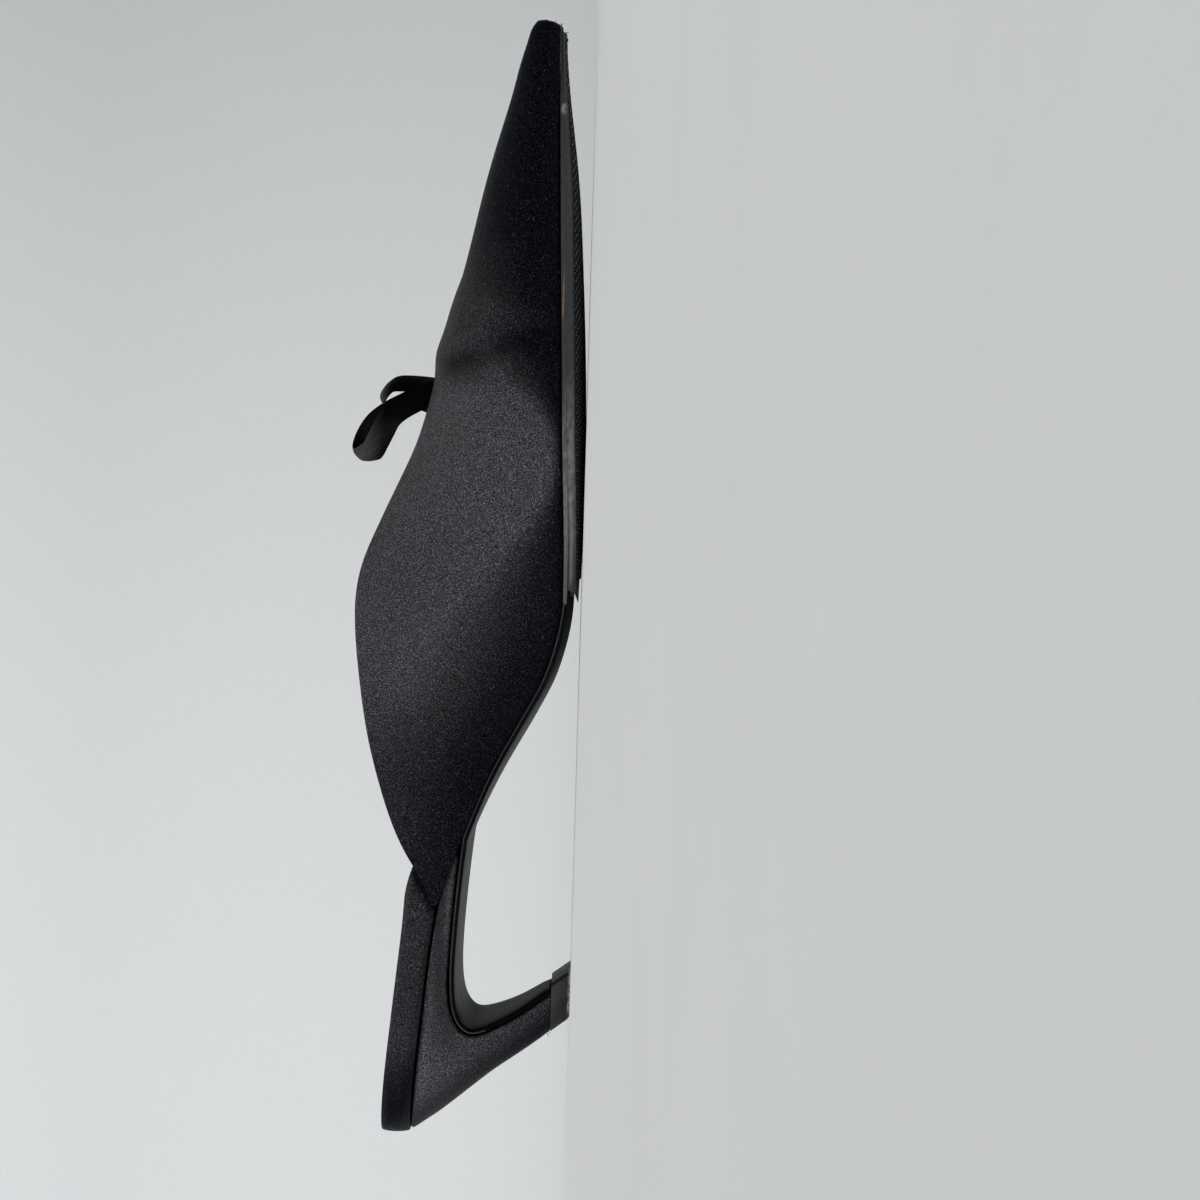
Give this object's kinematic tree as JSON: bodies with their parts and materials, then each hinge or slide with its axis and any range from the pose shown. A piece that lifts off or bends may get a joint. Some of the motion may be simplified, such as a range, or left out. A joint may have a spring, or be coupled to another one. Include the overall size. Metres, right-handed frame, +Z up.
{
  "type": "bow mule heel",
  "caption": "Black satin mule with a long pointed toe, an open V throat tied by a small ribbon bow, an open heel seat and a low forward-curved covered heel.",
  "frame": {"origin": "on the floor, under the middle of the shoe's length and breadth, without the bow", "axes": "+X towards the toe, +Y towards the outer (lateral) side, +Z up from the floor"},
  "size_m": [0.2643, 0.0775, 0.0547],
  "materials": {
    "satin": "satin",
    "ribbon": "satin",
    "sole_leather": "gloss",
    "grip_rubber": "matt",
    "tip_rubber": "matt"
  },
  "bodies": {
    "root": {"upper": "satin", "insole": "satin", "heel": "satin", "outsole": "sole_leather", "grip_pad": "grip_rubber", "top_piece": "tip_rubber", "ribbon_tie": "ribbon", "bow_knot": "ribbon", "bow_loop_medial": "ribbon", "bow_loop_lateral": "ribbon", "bow_tail_medial": "ribbon", "bow_tail_lateral": "ribbon"}
  },
  "joints": []
}
